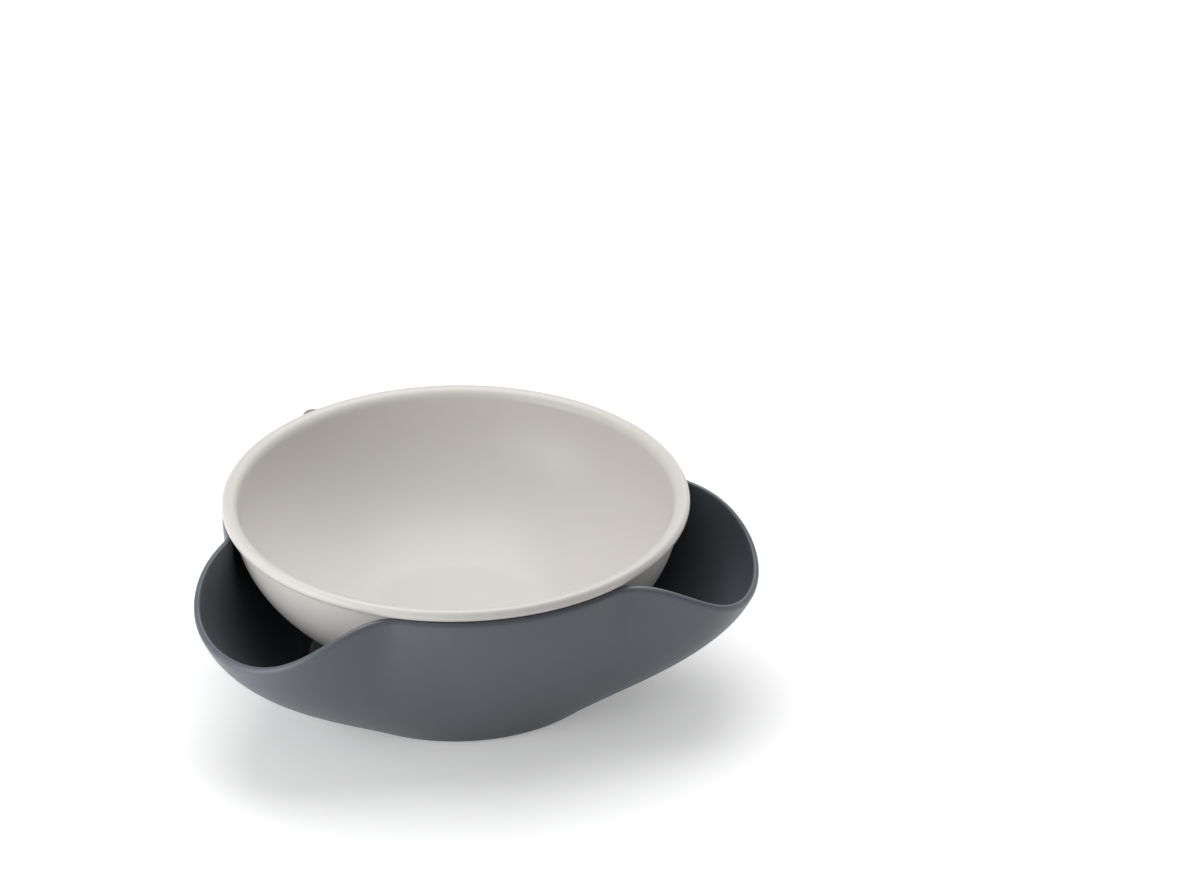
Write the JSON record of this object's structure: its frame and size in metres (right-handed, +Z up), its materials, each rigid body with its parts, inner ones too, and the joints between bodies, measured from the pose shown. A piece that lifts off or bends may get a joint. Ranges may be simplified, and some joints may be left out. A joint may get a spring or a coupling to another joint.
{
  "type": "serving bowl",
  "caption": "Round serving bowl hung by its beaded rim in a deeper catch dish, whose wavy rim dips at flared ears where pits and shells are dropped under the bowl.",
  "frame": {"origin": "centre of the catch dish's flat base, on the table", "axes": "+Z up along the bowl's axis, +Y through the middle of an ear, +X to the right of it"},
  "size_m": [0.1892, 0.1794, 0.0649],
  "materials": {
    "pale_plastic": "satin, warm pale grey",
    "slate_plastic": "matte, dark slate grey"
  },
  "bodies": {
    "catch_dish": {"catch_dish": "slate_plastic"},
    "serving_bowl": {"serving_bowl": "pale_plastic"}
  },
  "joints": [
    {"name": "bowl_lift", "type": "slide", "parent": "catch_dish", "child": "serving_bowl", "axis": [0, 0, 1], "range_m": [0, 0.1]}
  ]
}
